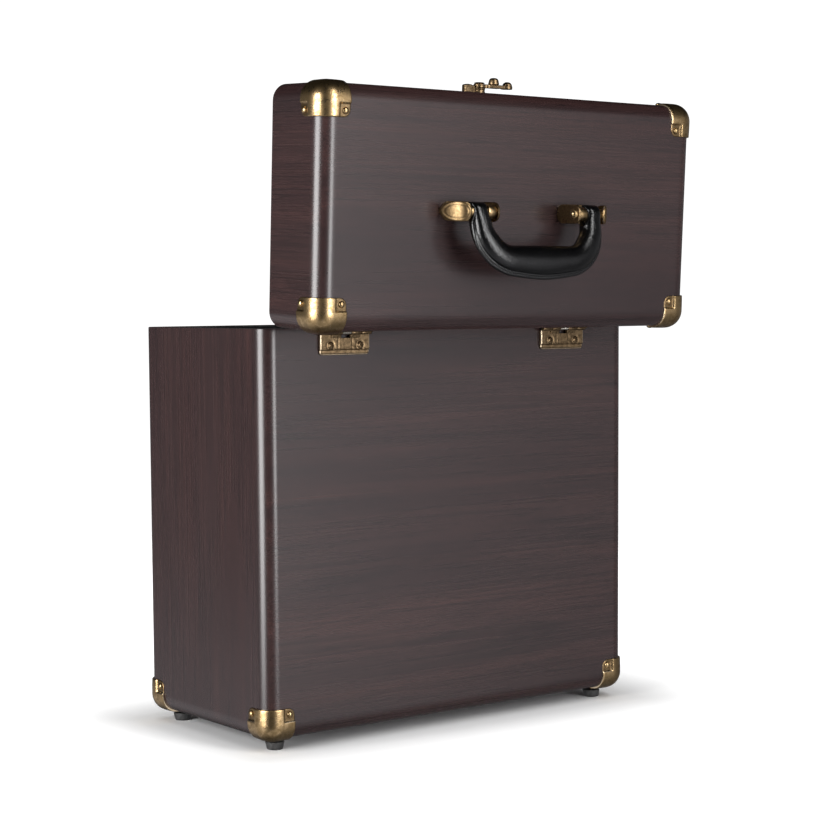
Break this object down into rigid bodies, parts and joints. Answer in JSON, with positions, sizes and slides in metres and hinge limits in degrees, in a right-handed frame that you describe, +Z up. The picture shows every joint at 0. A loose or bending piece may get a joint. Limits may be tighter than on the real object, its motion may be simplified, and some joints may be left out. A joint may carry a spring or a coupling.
{
  "type": "record carrying case",
  "caption": "Upright wooden box with a hinged lid held open by stop hinges, padded swing handle, swing-arm latch, metal corner caps and rubber feet.",
  "frame": {"origin": "centre of the flat middle of the case's underside; the rubber feet reach 9.2 mm below it", "axes": "+Z up; the latch side faces -Y and the hinges are on the +Y side; +X is the case's left as seen by somebody facing its hinge side, so 'left' nodes are at +X; stored with the lid open at its 93 degree stop"},
  "size_m": [0.357, 0.2882, 0.4917],
  "materials": {
    "veneer": "satin wood-grain laminate",
    "lining": "matte black cloth",
    "brass": "antiqued, satin",
    "bronze": "dark antique bronze plate",
    "spring_steel": "bright wire",
    "rubber": "matte",
    "leather": "glossy pebbled leatherette"
  },
  "bodies": {
    "case": {"case_back_panel": "veneer", "case_bottom_panel": "veneer", "case_corner_cap_back_left": "brass", "case_corner_cap_back_right": "brass", "case_corner_cap_front_left": "brass", "case_corner_cap_front_right": "brass", "case_front_panel": "veneer", "case_left_panel": "veneer", "case_lining": "lining", "case_right_panel": "veneer", "foot_back_left": "rubber", "foot_back_right": "rubber", "foot_front_left": "rubber", "foot_front_right": "rubber", "foot_screw_back_left": "bronze", "foot_screw_back_right": "bronze", "foot_screw_front_left": "bronze", "foot_screw_front_right": "bronze", "hinge_case_leaf_left": "bronze", "hinge_case_leaf_right": "bronze", "hinge_case_screw_left_a": "bronze", "hinge_case_screw_left_b": "bronze", "hinge_case_screw_right_a": "bronze", "hinge_case_screw_right_b": "bronze", "hinge_pin_left": "bronze", "hinge_pin_right": "bronze", "hinge_spring_left": "spring_steel", "hinge_spring_right": "spring_steel", "latch_keeper": "bronze", "latch_keeper_screw_lower": "bronze", "latch_keeper_screw_upper": "bronze"},
    "lid": {"handle_bracket_left": "brass", "handle_bracket_right": "brass", "handle_pin_left": "brass", "handle_pin_right": "brass", "handle_screw_left_a": "brass", "handle_screw_left_b": "brass", "handle_screw_right_a": "brass", "handle_screw_right_b": "brass", "hinge_lid_leaf_left": "bronze", "hinge_lid_leaf_right": "bronze", "hinge_lid_screw_left_a": "bronze", "hinge_lid_screw_left_b": "bronze", "hinge_lid_screw_right_a": "bronze", "hinge_lid_screw_right_b": "bronze", "latch_base": "bronze", "latch_screw_a": "bronze", "latch_screw_b": "bronze", "lid_back_panel": "veneer", "lid_corner_cap_back_left": "brass", "lid_corner_cap_back_right": "brass", "lid_corner_cap_front_left": "brass", "lid_corner_cap_front_right": "brass", "lid_front_panel": "veneer", "lid_left_panel": "veneer", "lid_lining": "lining", "lid_right_panel": "veneer", "lid_top_panel": "veneer"},
    "handle": {"handle_grip": "leather"},
    "latch_arm": {"latch_arm": "bronze"}
  },
  "joints": [
    {"name": "lid_hinge", "type": "hinge", "parent": "case", "child": "lid", "pos_m": [0, 0.0895, 0.295], "axis": [1, 0, 0], "range_deg": [0, 93]},
    {"name": "handle_swing", "type": "hinge", "parent": "lid", "child": "handle", "pos_m": [0, 0.17707, 0.38003], "axis": [1, 0, 0], "range_deg": [-28, 178]},
    {"name": "latch_swing", "type": "hinge", "parent": "lid", "child": "latch_arm", "pos_m": [0, 0.11361, 0.46848], "axis": [0, 0.0523, 0.9986], "range_deg": [0, 90]}
  ]
}
